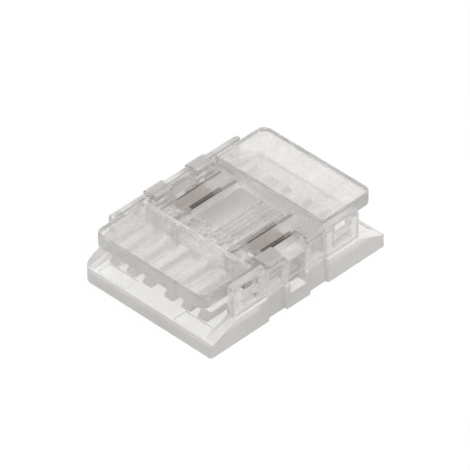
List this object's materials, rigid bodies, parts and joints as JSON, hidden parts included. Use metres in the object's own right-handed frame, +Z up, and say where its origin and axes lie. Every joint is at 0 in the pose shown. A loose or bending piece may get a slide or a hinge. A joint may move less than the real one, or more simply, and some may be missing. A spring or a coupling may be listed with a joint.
{
  "type": "led strip connector",
  "caption": "Clear flat connector that joins two LED strips end to end without solder, with a press lid over each strip mouth and toothed sheet metal contacts.",
  "frame": {"origin": "on the underside, below the middle of the base", "axes": "+X along the strips, from the front mouth to the back mouth; +Y across them, towards the side with the two round corners; +Z up, the way the lids rise"},
  "size_m": [0.0206, 0.015, 0.0057],
  "materials": {
    "base_plastic": "gloss",
    "cover_plastic": "gloss",
    "lid_plastic": "gloss",
    "contact_metal": "satin"
  },
  "bodies": {
    "body": {"base": "base_plastic", "centre_cover": "cover_plastic", "near_contact": "contact_metal", "far_contact": "contact_metal"},
    "front_lid": {"front_lid": "lid_plastic"},
    "back_lid": {"back_lid": "lid_plastic"}
  },
  "joints": [
    {"name": "front_press", "type": "slide", "parent": "body", "child": "front_lid", "axis": [0, 0, 1], "range_m": [-0.00147, 0]},
    {"name": "back_press", "type": "slide", "parent": "body", "child": "back_lid", "axis": [0, 0, 1], "range_m": [-0.00147, 0]}
  ]
}
